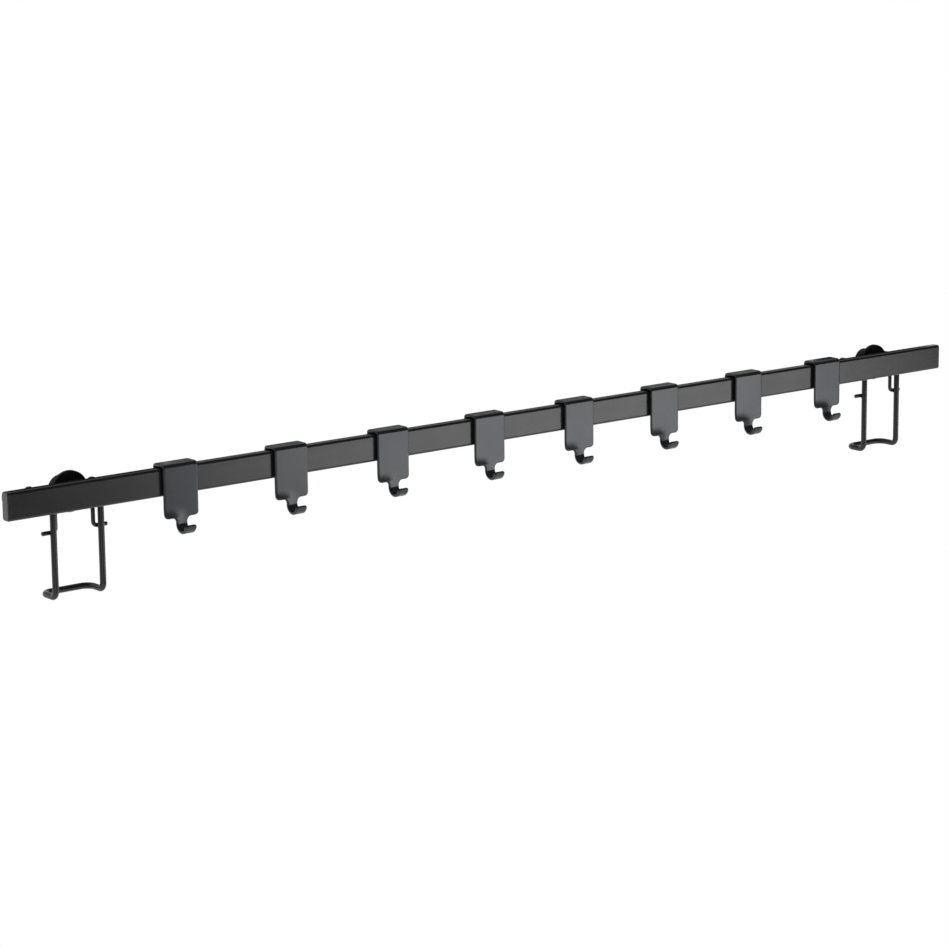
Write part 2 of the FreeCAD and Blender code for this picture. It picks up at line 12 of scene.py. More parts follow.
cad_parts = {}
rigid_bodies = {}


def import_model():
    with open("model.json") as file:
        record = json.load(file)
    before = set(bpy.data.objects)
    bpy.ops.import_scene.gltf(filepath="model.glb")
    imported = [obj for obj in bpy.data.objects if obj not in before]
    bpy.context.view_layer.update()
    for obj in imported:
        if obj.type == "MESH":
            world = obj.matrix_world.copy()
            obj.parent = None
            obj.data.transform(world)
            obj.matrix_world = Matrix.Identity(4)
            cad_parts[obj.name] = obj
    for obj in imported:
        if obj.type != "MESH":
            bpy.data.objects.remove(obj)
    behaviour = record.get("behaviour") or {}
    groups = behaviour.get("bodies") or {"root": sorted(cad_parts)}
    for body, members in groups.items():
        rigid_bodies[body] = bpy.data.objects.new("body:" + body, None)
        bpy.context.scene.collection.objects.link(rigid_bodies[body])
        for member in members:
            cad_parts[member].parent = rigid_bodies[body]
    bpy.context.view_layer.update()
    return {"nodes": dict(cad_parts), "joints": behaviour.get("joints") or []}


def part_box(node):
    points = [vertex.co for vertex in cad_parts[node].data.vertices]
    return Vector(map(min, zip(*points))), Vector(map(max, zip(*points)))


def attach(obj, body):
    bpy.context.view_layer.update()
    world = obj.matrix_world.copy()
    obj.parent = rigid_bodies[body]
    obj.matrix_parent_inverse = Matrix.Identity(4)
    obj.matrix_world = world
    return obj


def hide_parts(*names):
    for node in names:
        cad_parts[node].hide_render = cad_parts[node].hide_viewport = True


bl_info = {
    "name": "Utensil Rail Dresser",
    "version": (1, 0, 0),
    "blender": (4, 5, 0),
    "location": "View3D > Sidebar > Utensil Rail",
    "description": "Builds the visible pieces and finishes of a wall rail with sliding hooks",
    "category": "Object",
}

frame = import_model()
NODES = frame["nodes"]
ROOT_BODY = next(joint["parent"] for joint in frame["joints"])
HOOKS = sorted(joint["child"] for joint in frame["joints"])
SIDES = ("left", "right")
BOTH_WAYS = (-1, 1)
MM = 0.001

# Edges that turn by more than this stay sharp
SHARP_ANGLE = math.radians(50)

# How far a bend turns between two cuts or rings
BEND_STEP = math.radians(6)
LOOP_STEP = math.radians(8)

# Steps in a rounding
TUBE_CORNER_STEPS = 10
CAP_EDGE_STEPS = 6
BLANK_CORNER_STEPS = 9
STRIP_EDGE_STEPS = 4
WIRE_TIP_STEPS = 4
ROUND_PROFILE = 0.5

# Lengths that count as equal, and points that count as one, in metres
SAME_LENGTH = 1e-9
SAME_DIGITS = 9
SAME_POINT = 1e-7

# The middle of a noise that runs from 0 to 1
NOISE_MIDDLE = 0.5

# Camera sensor in millimetres, and how far the camera sees in metres
SENSOR_WIDTH = 36.0
SIGHT = 50.0

WHITE = (1.0, 1.0, 1.0)
CHALK = (0.9, 0.9, 0.9)
BLACK = (0.0, 0.0, 0.0)


# Sizes and colours


def length(name, description, default):
    """A length in metres, written in millimetres."""
    return FloatProperty(name=name, description=description, default=default * MM,
                         unit="LENGTH", precision=5)


def degrees(name, description, default):
    """An angle, written in degrees."""
    return FloatProperty(name=name, description=description, default=math.radians(default),
                         subtype="ANGLE")


def spot(name, description, default):
    """A place in the shared frame, in metres."""
    return FloatVectorProperty(name=name, description=description, default=default, unit="LENGTH")


def tint(name, description, default):
    """A paint or plastic colour."""
    return FloatVectorProperty(name=name, description=description, default=default,
                               subtype="COLOR", min=0, max=1)


def share(name, description, default, top=1.0):
    """A plain number from 0 up."""
    return FloatProperty(name=name, description=description, default=default,
                         min=0.0, max=top, subtype="FACTOR")


def watts(name, description, default):
    """The power of a lamp."""
    return FloatProperty(name=name, description=description, default=default, unit="POWER")


def count(name, description, default):
    """A number of rings or facets."""
    return IntProperty(name=name, description=description, default=default, min=1)


class HookSizes(bpy.types.PropertyGroup):
    """The flat blank of a hook and the folds that it gets."""

    sheet: length("Sheet", "Thickness of the steel strip", 2.2)
    width: length("Plate width", "Width of the strip over the rail", 28.4)
    neck: length("Neck width", "Width of the strip in the curl", 9.2)
    front_gap: length("Front gap", "Between the plate and the rail's front", 1.0)
    lip: length("Lip", "Straight part behind the rail", 9.0)
    fold: length("Fold radius", "Inside radius of the two folds over the rail", 0.6)
    curl: length("Curl radius", "Inside radius of the curl", 4.8)
    sweep: degrees("Curl sweep", "How far the curl turns", 158)
    tip: length("Tip", "Straight end of the curl", 2.2)
    curl_height: length("Curl height", "Middle of the curl below the origin", 29.4)
    foot_height: length("Plate foot", "Lower edge of the plate below the origin", 25.7)
    plate_corner: length("Plate corner", "Rounding of the plate's lower corners", 3.0)
    neck_fillet: length("Neck fillet", "Rounding between plate and neck", 3.4)
    tip_corner: length("Tip corner", "Rounding of the tip", 1.8)
    lip_corner: length("Lip corner", "Rounding of the return lip's corners", 1.0)
    edge: length("Edge rounding", "How far the paint softens the strip's edges", 0.95)
    draw: length("Draw", "How far the rolling of the curl draws the plate's foot forward, on its left", 0.95)
    draw_height: length("Draw height", "How far up the plate that reaches", 9.0)
    draw_edge: length("Draw edge", "Where it fades out, left of the middle", 2.5)
    draw_fade: length("Draw fade", "How softly it fades out", 2.0)
    draw_step: length("Draw step", "Between the cuts that let the plate follow it", 0.9)


class RailSizes(bpy.types.PropertyGroup):
    """The flat tube and its end caps."""

    corner: length("Corner", "Rounding of the tube's long edges", 2.0)
    wall: length("Wall", "Thickness of the tube's wall", 1.2)
    cap_edge: length("Cap edge", "Rounding of a cap's outer edge", 1.0)
    clearance: length("Clearance", "Gap between a cap's tongue and the tube", 0.1)


class WireSizes(bpy.types.PropertyGroup):
    """The bent wire of the two brackets."""

    frame_wire: length("Thick wire", "Diameter of the bracket's wire", 4.5)
    frame_bend: length("Crossbar bend", "Bend radius of the crossbar's ends", 7.0)
    leg_bend: length("Leg bend", "Bend radius at the foot of a leg", 4.6)
    leg_spacing: length("Leg spacing", "Between the middles of the legs", 38.0)
    leg_rise: length("Leg rise", "Top of the legs above the origin", 7.5)
    leg_drop: length("Leg drop", "Lowest point of the legs below the origin", 72.6)
    seam: length("Weld seam", "Gap that a weld fills", 0.05)
    loop_wire: length("Thin wire", "Diameter of the hanger loop's wire", 3.0)
    loop_bend: length("Thin bend", "Bend radius of the thin wire", 3.0)
    foot_span: length("Foot span", "From tip to tip of the loop's feet", 52.0)
    foot_drop: length("Foot drop", "The feet below the origin", 25.4)
    riser_spacing: length("Riser spacing", "Between the loop's risers", 30.0)
    lean_drop: length("Lean drop", "Where the risers lean back to the wall, below the origin", 13.0)
    shoulder_drop: length("Shoulder drop", "Where the risers turn in to the arch, below the origin", 6.0)
    arch: length("Arch radius", "Arch over the button's neck", 8.65)
    arch_drop: length("Arch drop", "Lower ends of the arch below the origin", 2.0)
    arch_depth: length("Arch depth", "The arch in front of the wall", 8.25)
    tip: length("Wire tip", "Rounding of a cut wire end", 0.6)
    around: count("Facets", "Facets round a wire", 28)


class WeldSizes(bpy.types.PropertyGroup):
    """The beads that join legs, feet and rail."""

    bead: length("Bead", "Half the width of an upright bead", 0.95)
    reach: share("Reach", "From a leg's middle to its upright beads, in leg radii", 0.92)
    depth: share("Depth", "From the rail's back to an upright bead's middle, in beads", 0.5)
    end: share("End", "How far an upright bead stays short of leg and rail, in beads", 2.0, 4.0)
    tip: share("Tip", "Rounding of an upright bead's ends, in beads", 0.6)
    rings: count("Rings", "Rings along an upright bead", 40)
    lap_bead: share("Lap bead", "Half the width of a foot's beads, in beads", 0.7)
    lap_spread: share("Lap spread", "From a foot's middle to its two beads, in thin wires", 0.42)
    lap_run: share("Lap run", "Length of a foot's beads, in thin wires", 0.9)
    lap_tip: share("Lap tip", "Rounding of the ends of a foot's beads, in beads", 0.4)
    lap_rings: count("Lap rings", "Rings along a foot's beads", 16)
    ripple: share("Ripple", "How deep a bead's ripples are, as a share of its size", 0.1)
    ripple_turn: share("Ripple turn", "Turn of the ripple's wave from ring to ring, in radians", 1.7, 3.0)
    around: count("Facets", "Facets round a bead", 14)


class FinishColours(bpy.types.PropertyGroup):
    """Paints and plastics."""

    rail: tint("Rail paint", "Satin black of the tube", (0.0100, 0.0100, 0.0102))
    hook: tint("Hook paint", "Satin black of the hooks, a little cooler", (0.0125, 0.0130, 0.0142))
    hook_gleam: tint("Hook gleam", "Cool tint of the light that the hooks mirror", (0.94, 0.97, 1.0))
    wire: tint("Wire paint", "Black of the brackets", (0.0095, 0.0095, 0.0098))
    plate: tint("Plate paint", "Black of wall plates and buttons", (0.0045, 0.0045, 0.0046))
    cap: tint("Cap plastic", "Moulded end caps", (0.012, 0.012, 0.012))
    screw: tint("Screw", "Blackened steel of the screws", (0.030, 0.030, 0.031))
    satin: share("Satin", "Roughness of the satin paint", 0.235)
    gloss: share("Gloss", "Roughness of the wire's paint", 0.26)
    matt: share("Matt", "Roughness of the paint on wall plates and buttons", 0.42)


class StageSettings(bpy.types.PropertyGroup):
    """Camera, lamps, dark cards and floor."""

    eye: spot("Eye", "Camera place", (-1.50371, -1.84621, 0.44761))
    yaw: degrees("Yaw", "Turn to the right", 38.655)
    pitch: degrees("Pitch", "Tilt up", -11.65)
    roll: degrees("Roll", "Tilt sideways", -0.62)
    lens: FloatProperty(name="Lens", description="Focal length for a 36 mm sensor",
                        default=120.926, unit="CAMERA")
    floor_drop: length("Floor", "Floor below the origin", 600.0)
    floor_reach: length("Floor reach", "Floor to the left, to the right and to the rear", 3000.0)
    floor_front: length("Floor front", "Floor to the front", 1300.0)
    panel_power: watts("Right panel", "Low soft box that the fronts mirror", 5.8)
    side_power: watts("Left panel", "The same on the left", 2.4)
    front_power: watts("Front panel", "The same in front", 1.3)
    panel_width: length("Panel width", "Width of the low soft boxes", 1020.0)
    panel_height: length("Panel height", "Height of the low soft boxes", 500.0)
    panel_drop: length("Panel drop", "Middle of the low soft boxes below the origin", 426.0)
    panel_side: length("Panel side", "The outer two to the left and right of the origin", 1457.0)
    panel_near: length("Panel near", "The outer two in front of the origin", 1757.0)
    front_near: length("Front near", "The front one in front of the origin", 2300.0)
    key_power: watts("Key", "Wide light on everything", 42.0)
    key_width: length("Key width", "Width of the wide light", 2400.0)
    key_height: length("Key height", "Height of the wide light", 1600.0)
    key_place: spot("Key place", "Middle of the wide light", (-0.9, -2.4, 1.5))
    left_card: spot("Left card", "Middle of the dark card behind the left end", (-0.26, 0.186, 0.066))
    middle_card: spot("Middle card", "Middle of the dark card between the ends", (0.146, 0.166, 0.061))
    right_card: spot("Right card", "Middle of the dark card behind the right end", (0.5515, 0.147, 0.056))
    end_card_width: length("End card width", "Width of the dark cards behind the ends", 150.0)
    end_card_height: length("End card height", "Their height", 120.0)
    middle_card_width: length("Middle card width", "Width of the dark card between the ends", 680.0)
    middle_card_height: length("Middle card height", "Its height", 48.0)
    backdrop: share("Backdrop", "White behind the rail, as the paint mirrors it", 0.5, 2.0)
    room: share("Room", "The rest of the studio", 0.06, 2.0)


# Shader maths


class Tone:
    """A shader socket that takes part in Python arithmetic. Numbers alone never make a node."""

    def __init__(self, tree, socket=None):
        self.tree = tree
        self.socket = socket

    def make(self, kind, options=None, feeds=None, out=0):
        """Adds one node: its options, then the values or links of its sockets. Gives one of its outputs."""
        node = self.tree.nodes.new(kind)
        for key, value in (options or {}).items():
            setattr(node, key, value)
        for key, value in (feeds or {}).items():
            if isinstance(value, Tone):
                self.tree.links.new(value.socket, node.inputs[key])
            else:
                node.inputs[key].default_value = value
        return Tone(self.tree, node.outputs[out] if len(node.outputs) else None)

    def sum_of(self, operation, first, second):
        """A Math node of two values."""
        return self.make("ShaderNodeMath", {"operation": operation}, {0: first, 1: second})

    def __add__(self, other):
        return self.sum_of("ADD", self, other)

    def __radd__(self, other):
        return self.sum_of("ADD", other, self)

    def __sub__(self, other):
        return self.sum_of("SUBTRACT", self, other)

    def __rsub__(self, other):
        return self.sum_of("SUBTRACT", other, self)

    def __mul__(self, other):
        return self.sum_of("MULTIPLY", self, other)

    def __rmul__(self, other):
        return self.sum_of("MULTIPLY", other, self)

    def at_least(self, other):
        return self.sum_of("MAXIMUM", self, other)

    def between(self, low, high):
        """0 below low, 1 above high, smooth between them."""
        return self.make("ShaderNodeMapRange", {"interpolation_type": "SMOOTHSTEP"},
                         {"Value": self, "From Min": low, "From Max": high, "To Min": 0.0, "To Max": 1.0})

    def blend(self, dark, light):
        """A colour between two, by this value."""
        return self.make("ShaderNodeMix", {"data_type": "RGBA"},
                         {0: self, 6: (*dark, 1.0), 7: (*light, 1.0)}, 2)


def new_material(name):
    """An empty node material and the Tone to build it with."""
    material = bpy.data.materials.new(name)
    material.use_nodes = True
    material.node_tree.nodes.clear()
    return material, Tone(material.node_tree)


def noise(pen, place, scale, detail=2.0, roughness=0.5):
    """Noise from 0 to 1. Scale counts features per metre."""
    return pen.make("ShaderNodeTexNoise", {"noise_dimensions": "3D"},
                    {"Vector": place, "Scale": scale, "Detail": detail, "Roughness": roughness}, "Fac")


def streaks(pen, place, scale, detail):
    """Noise that is drawn out along an axis. Scale counts features per metre, by axis."""
    drawn_out = pen.make("ShaderNodeMapping", {"vector_type": "POINT"}, {"Vector": place, "Scale": scale})
    return noise(pen, drawn_out, 1.0, detail)


def shades(colour, dark, light):
    """A colour made darker and made lighter."""
    return [tuple(min(1.0, channel * factor) for channel in colour) for factor in (dark, light)]


def satin_paint(name, colour, satin, grain=1.0, streak=None, gleam=WHITE, ior=1.5):
    """Stoved satin paint: fine orange-peel, slow changes of sheen, and streaks where the tube was drawn."""
    material, pen = new_material(name)
    place = pen.make("ShaderNodeTexCoord", out="Object")
    cloud = noise(pen, place, 34.0, detail=3.0)
    speck = noise(pen, place, 2300.0, detail=1.5)
    peel = noise(pen, place, 620.0, detail=2.0, roughness=0.55)
    patches = (0.65 * cloud + 0.35 * speck).between(low=0.25, high=0.75)
    sheen = satin - 0.05 + 0.06 * cloud + 0.05 * speck
    if streak:
        sheen = sheen + 0.05 * (streaks(pen, place, streak, detail=2.0) - NOISE_MIDDLE)
    surface = pen.make("ShaderNodeBump", {}, {"Strength": 0.10 * grain, "Distance": 0.12 * MM,
                                              "Height": 0.7 * peel + 0.3 * speck})
    coat = pen.make("ShaderNodeBsdfPrincipled", {},
                    {"Base Color": patches.blend(*shades(colour, dark=0.86, light=1.16)),
                     "Roughness": sheen, "Normal": surface, "IOR": ior, "Specular Tint": (*gleam, 1.0)})
    pen.make("ShaderNodeOutputMaterial", {}, {"Surface": coat})
    return material


def moulded_plastic(name, colour):
    """Moulded plastic: satin at the rim, and a paler spark-eroded grain on the end face."""
    material, pen = new_material(name)
    place = pen.make("ShaderNodeTexCoord", out="Object")
    normal = pen.make("ShaderNodeTexCoord", out="Normal")
    along = pen.make("ShaderNodeSeparateXYZ", {}, {"Vector": normal}, "X")
    end_face = (along * along).between(low=0.55, high=0.95)
    spark = noise(pen, place, 3100.0, detail=3.0, roughness=0.6)
    patches = noise(pen, place, 160.0, detail=2.0).between(low=0.3, high=0.7)
    surface = pen.make("ShaderNodeBump", {}, {"Strength": 0.12, "Distance": 0.10 * MM, "Height": spark})
    body = pen.make("ShaderNodeBsdfPrincipled", {},
                    {"Base Color": patches.blend(*shades(colour, dark=0.88, light=1.12)),
                     "Roughness": 0.22 + 0.06 * spark + 0.25 * end_face, "Normal": surface,
                     "Coat Weight": end_face, "Coat Roughness": 0.4, "Coat IOR": 1.42})
    pen.make("ShaderNodeOutputMaterial", {}, {"Surface": body})
    return material


def blackened_steel(name, colour):
    """A blackened screw: dark oxide with faint turning lines about its axis."""
    material, pen = new_material(name)
    place = pen.make("ShaderNodeTexCoord", out="Object")
    oxide = noise(pen, place, 900.0, detail=3.0)
    turning = streaks(pen, place, (300.0, 5200.0, 300.0), detail=1.0)
    surface = pen.make("ShaderNodeBump", {}, {"Strength": 0.12, "Distance": 0.08 * MM, "Height": turning})
    patches = oxide.between(low=0.3, high=0.7)
    steel = pen.make("ShaderNodeBsdfPrincipled", {},
                     {"Base Color": patches.blend(*shades(colour, dark=0.7, light=1.3)),
                      "Metallic": 0.7, "Roughness": 0.34 + 0.16 * oxide, "Normal": surface})
    pen.make("ShaderNodeOutputMaterial", {}, {"Surface": steel})
    return material


# Pieces


def settings():
    """The scene's own settings, by group."""
    return bpy.context.scene.utensil_rail


def paint(obj, material):
    """Gives an object one material."""
    obj.data.materials.clear()
    obj.data.materials.append(material)


def new_piece(name, bm, material, body):
    """A mesh object that rides on a body."""
    mesh = bpy.data.meshes.new(name)
    bmesh.ops.recalc_face_normals(bm, faces=bm.faces)
    for edge in bm.edges:
        edge.smooth = edge.calc_face_angle(0.0) < SHARP_ANGLE
    bm.to_mesh(mesh)
    bm.free()
    mesh.polygons.foreach_set("use_smooth", [True] * len(mesh.polygons))
    obj = bpy.data.objects.new(name, mesh)
    bpy.context.scene.collection.objects.link(obj)
    paint(obj, material)
    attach(obj, body)
    return obj


def rounded_outline(corners, steps):
    """A closed flat outline with an arc at each corner. A corner is (x, y, radius)."""
    outline = []
    following = corners[1:] + corners[:1]
    for i, (x, y, radius) in enumerate(corners):
        here = Vector((x, y))
        back = (Vector(corners[i - 1][:2]) - here).normalized()
        ahead = (Vector(following[i][:2]) - here).normalized()
        half = back.angle(ahead) / 2
        reach = radius / math.tan(half)
        middle = here + (back + ahead).normalized() * (radius / math.sin(half))
        first = here + back * reach - middle
        last = here + ahead * reach - middle
        turn = first.angle_signed(last)
        for k in range(steps + 1):
            angle = -turn * k / steps
            outline.append(middle + Matrix.Rotation(angle, 2) @ first)
    return outline


def quarter_turn(steps):
    """Angles from 0 to a right angle."""
    return [math.pi / 2 * k / steps for k in range(steps + 1)]


def tube_ring(low, high, inset, corner, along):
    """The tube's section, drawn in by an inset, at a place along the rail."""
    front, back, foot, top = low.y + inset, high.y - inset, low.z + inset, high.z - inset
    corners = [(y, z, corner - inset) for y, z in ((front, foot), (back, foot), (back, top), (front, top))]
    return [Vector((along, *point)) for point in rounded_outline(corners, TUBE_CORNER_STEPS)]


def skin(bm, rings, closed=False):
    """Faces from each ring of points to the next. A closed skin comes back to its first ring, and an open
    one gets a face at each end."""
    loops = [[bm.verts.new(point) for point in ring] for ring in rings]
    count_round = len(loops[0])
    for near, far in zip(loops, loops[1:] + loops[:1] if closed else loops[1:]):
        for k in range(count_round):
            after = (k + 1) % count_round
            bm.faces.new((near[k], near[after], far[after], far[k]))
    if not closed:
        bm.faces.new(loops[0][::-1])
        bm.faces.new(loops[-1])


def even_normals(obj):
    """Keeps flat faces flat between their rounded edges."""
    evened = obj.modifiers.new("evened_normals", "WEIGHTED_NORMAL")
    evened.keep_sharp = True


class FoldLine:
    """The middle line of a folded strip, seen from the side, as straight runs and arcs."""

    def __init__(self, start, heading):
        self.runs = []
        self.point = Vector(start)
        self.heading = heading
        self.total = 0.0

    def straight(self, run):
        """Goes straight on."""
        self.add(run, 0.0)

    def arc(self, radius, turn):
        """Turns by an angle, to the left where it is positive."""
        self.add(radius * abs(turn), turn)

    def add(self, run, turn):
        """Appends a run of a length that turns by an angle."""
        self.runs.append((self.total, run, self.point.copy(), self.heading, turn))
        self.point = self.at(self.total + run)[0]
        self.heading += turn
        self.total += run

    def at(self, along):
        """Point and heading at a length along the line."""
        passed = (r for r in reversed(self.runs) if along >= r[0] - SAME_LENGTH)
        start, run, point, heading, turn = next(passed, self.runs[0])
        travelled = along - start
        if not turn:
            return point + travelled * Vector((math.cos(heading), math.sin(heading))), heading
        radius = run / turn
        now = heading + turn * travelled / run
        shift = Vector((math.sin(now) - math.sin(heading), math.cos(heading) - math.cos(now)))
        return point + radius * shift, now

    def cuts(self, step):
        """Lengths at which a flat blank is cut so that it can follow the arcs."""
        places = []
        for start, run, _, _, turn in self.runs:
            pieces = max(1, math.ceil(abs(turn) / step))
            places += [start + run * k / pieces for k in range(pieces + 1)] if turn else []
        return sorted(set(round(p, SAME_DIGITS) for p in places))


def hook_fold_line(sizes, high):
    """A hook's fold line from its return lip to its tip, and the length along it at which the plate ends.
    The upper rear corner of the hook's box places lip and top, and the rail's front places the plate."""
    middle_fold = sizes.fold + sizes.sheet / 2
    middle_curl = sizes.curl + sizes.sheet / 2
    lip_y = high.y - sizes.sheet / 2
    top_z = high.z - sizes.sheet / 2
    plate_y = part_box("rail")[0].y - sizes.front_gap - sizes.sheet / 2
    fold = FoldLine((lip_y, top_z - middle_fold - sizes.lip), math.pi / 2)
    fold.straight(sizes.lip)
    fold.arc(middle_fold, math.pi / 2)
    fold.straight(lip_y - plate_y - 2 * middle_fold)
    fold.arc(middle_fold, math.pi / 2)
    plate_start = fold.total
    fold.straight(top_z - middle_fold + sizes.curl_height)
    fold.arc(middle_curl, -sizes.sweep)
    fold.straight(sizes.tip)
    foot = plate_start + top_z - middle_fold + sizes.foot_height
    return fold, foot


def clamped(value):
    """A value kept between 0 and 1."""
    return min(1.0, max(0.0, value))


def folded_hook(sizes, node):
    """Cuts a blank, softens its edges, and folds it over the rail."""
    low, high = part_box(node)
    middle_x = (low.x + high.x) / 2
    fold, foot = hook_fold_line(sizes, high)
    half, neck = sizes.width / 2, sizes.neck / 2
    right = [(half, 0.0, sizes.lip_corner), (half, foot, sizes.plate_corner),
             (neck, foot, sizes.neck_fillet), (neck, fold.total, sizes.tip_corner)]
    left = [(-x, y, radius) for x, y, radius in reversed(right)]
    outline = rounded_outline(right + left, BLANK_CORNER_STEPS)
    bm = bmesh.new()
    blank = bm.faces.new([bm.verts.new((p.x, p.y, 0.0)) for p in outline])
    risen = bmesh.ops.extrude_face_region(bm, geom=[blank])
    bmesh.ops.translate(bm, vec=(0, 0, sizes.sheet),
                        verts=[g for g in risen["geom"] if isinstance(g, bmesh.types.BMVert)])
    rims = [e for e in bm.edges if abs(e.verts[0].co.z - e.verts[1].co.z) < SAME_LENGTH]
    bmesh.ops.bevel(bm, geom=rims, offset=sizes.edge, offset_type="OFFSET", segments=STRIP_EDGE_STEPS,
                    profile=ROUND_PROFILE, affect="EDGES")
    rows = math.ceil(sizes.draw_height / sizes.draw_step)
    columns = math.floor(half / sizes.draw_step)
    for along in fold.cuts(BEND_STEP) + [foot - k * sizes.draw_step for k in range(rows + 1)]:
        cut_through(bm, (0, along, 0), (0, 1, 0))
    for across in range(-columns, columns + 1):
        cut_through(bm, (across * sizes.draw_step, 0, 0), (1, 0, 0))
    for vert in bm.verts:
        across, along, depth = vert.co
        point, heading = fold.at(along)
        outward = Vector((math.sin(heading), -math.cos(heading)))
        place = point + (depth - sizes.sheet / 2) * outward
        climb = clamped(1 - (foot - along) / sizes.draw_height)
        spent = clamped((fold.total - along) / (fold.total - foot))
        fade = 1 + math.exp((across + sizes.draw_edge) / sizes.draw_fade)
        drawn = sizes.draw * climb ** 2 * spent / fade
        vert.co = (middle_x + across, place.x - drawn, place.y)
    return bm


def cut_through(bm, place, normal):
    """Splits every face that a plane crosses."""
    everything = bm.verts[:] + bm.edges[:] + bm.faces[:]
    bmesh.ops.bisect_plane(bm, geom=everything, dist=SAME_POINT, plane_co=place, plane_no=normal)


def wire_route(corners, radii, step):
    """Points along straight runs joined by arcs."""
    route = [corners[0]]
    for before, corner, after, radius in zip(corners, corners[1:], corners[2:], radii):
        back, ahead = (before - corner).normalized(), (after - corner).normalized()
        half = (math.pi - back.angle(ahead)) / 2
        reach = radius * math.tan(half)
        middle = corner + (back + ahead).normalized() * (radius / math.cos(half))
        first = corner + back * reach - middle
        axis = first.cross(corner + ahead * reach - middle).normalized()
        pieces = max(2, math.ceil(2 * half / step))
        turns = [Matrix.Rotation(2 * half * k / pieces, 3, axis) for k in range(pieces + 1)]
        route += [middle + turn @ first for turn in turns]
    route.append(corners[-1])
    return [p for i, p in enumerate(route) if i == 0 or (p - route[i - 1]).length > SAME_POINT]


def wire(bm, route, radius, around, tip, ripple=None):
    """A round wire along a route, with rounded ends. A ripple gives each ring its share of the radius."""
    ahead = [(b - a).normalized() for a, b in zip(route, route[1:])]
    heads = [ahead[0]] + [(a + b).normalized() for a, b in zip(ahead, ahead[1:])] + [ahead[-1]]
    turns = [2 * math.pi * k / around for k in range(around)]
    side = heads[0].orthogonal().normalized()
    rounding = quarter_turn(WIRE_TIP_STEPS)
    rings = []

    def ring(point, head, size):
        other = head.cross(side)
        rings.append([point + size * (math.cos(t) * side + math.sin(t) * other) for t in turns])

    for i, (point, head) in enumerate(zip(route, heads)):
        side = (side - side.dot(head) * head).normalized()
        size = radius * (ripple(i) if ripple else 1.0)
        if i == 0:
            for angle in rounding:
                ring(point + head * tip * (1 - math.cos(angle)), head, size - tip + tip * math.sin(angle))
        elif i == len(route) - 1:
            for angle in reversed(rounding):
                ring(point - head * tip * (1 - math.cos(angle)), head, size - tip + tip * math.sin(angle))
        else:
            ring(point, head, size)
    skin(bm, rings)


def mirrored(points):
    """A route's right half, and then its mirror image from the far end back."""
    return points + [Vector((-p.x, p.y, p.z)) for p in reversed(points)]


def bracket_middle(side):
    """X of a bracket's middle, from its wall plate."""
    low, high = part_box(f"wall_plate_{side}")
    return (low.x + high.x) / 2


def leg_depth(sizes):
    """Y of the legs' middle."""
    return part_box("rail")[1].y + sizes.seam + sizes.frame_wire / 2


def shifted(points, across):
    """Points moved along the rail."""
    return [p + Vector((across, 0, 0)) for p in points]


# Operators


class UTENSIL_OT_rail(bpy.types.Operator):
    """Draw the flat tube and paint it in satin black"""

    bl_idname = "utensil.rail"
    bl_label = "Rail"

    def execute(self, context):
        sizes, finish = settings().rail, settings().finish
        coat = satin_paint("rail_satin_black", finish.rail, finish.satin, grain=0.8,
                           streak=(3.0, 420.0, 420.0))
        low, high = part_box("rail")
        outside = [tube_ring(low, high, 0.0, sizes.corner, along) for along in (low.x, high.x)]
        inside = [tube_ring(low, high, sizes.wall, sizes.corner, along) for along in (high.x, low.x)]
        bm = bmesh.new()
        skin(bm, outside + inside, closed=True)
        tube = new_piece("rail_tube", bm, coat, ROOT_BODY)
        even_normals(tube)
        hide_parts("rail")
        return {"FINISHED"}


class UTENSIL_OT_end_caps(bpy.types.Operator):
    """Mould the end caps: a rounded head on a tongue that fills the tube"""

    bl_idname = "utensil.end_caps"
    bl_label = "End caps"

    def execute(self, context):
        sizes = settings().rail
        plastic = moulded_plastic("cap_black_plastic", settings().finish.cap)
        low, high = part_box("rail")
        tongue = sizes.wall + sizes.clearance
        edge = sizes.cap_edge
        for side in SIDES:
            cap_low, cap_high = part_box(f"end_cap_{side}")
            if side == "left":
                face, tube_end, deep, outward = cap_low.x, low.x, cap_high.x, -1
            else:
                face, tube_end, deep, outward = cap_high.x, high.x, cap_low.x, 1
            places = [(deep, tongue), (tube_end, tongue), (tube_end, 0.0)]
            places += [(face - outward * edge * (1 - math.sin(angle)), edge * (1 - math.cos(angle)))
                       for angle in quarter_turn(CAP_EDGE_STEPS)]
            bm = bmesh.new()
            skin(bm, [tube_ring(low, high, inset, sizes.corner, along) for along, inset in places])
            cap = new_piece(f"end_cap_{side}_moulded", bm, plastic, ROOT_BODY)
            even_normals(cap)
            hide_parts(f"end_cap_{side}")
        return {"FINISHED"}


class UTENSIL_OT_hooks(bpy.types.Operator):
    """Fold the hooks from flat blanks and hang them over the rail"""

    bl_idname = "utensil.hooks"
    bl_label = "Hooks"

    def execute(self, context):
        finish = settings().finish
        coat = satin_paint("hook_satin_black", finish.hook, finish.satin, gleam=finish.hook_gleam, ior=1.55)
        for body in HOOKS:
            node = body.removesuffix("_body")
            hook = new_piece(f"{node}_folded", folded_hook(settings().hook, node), coat, body)
            even_normals(hook)
            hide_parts(node)
        return {"FINISHED"}


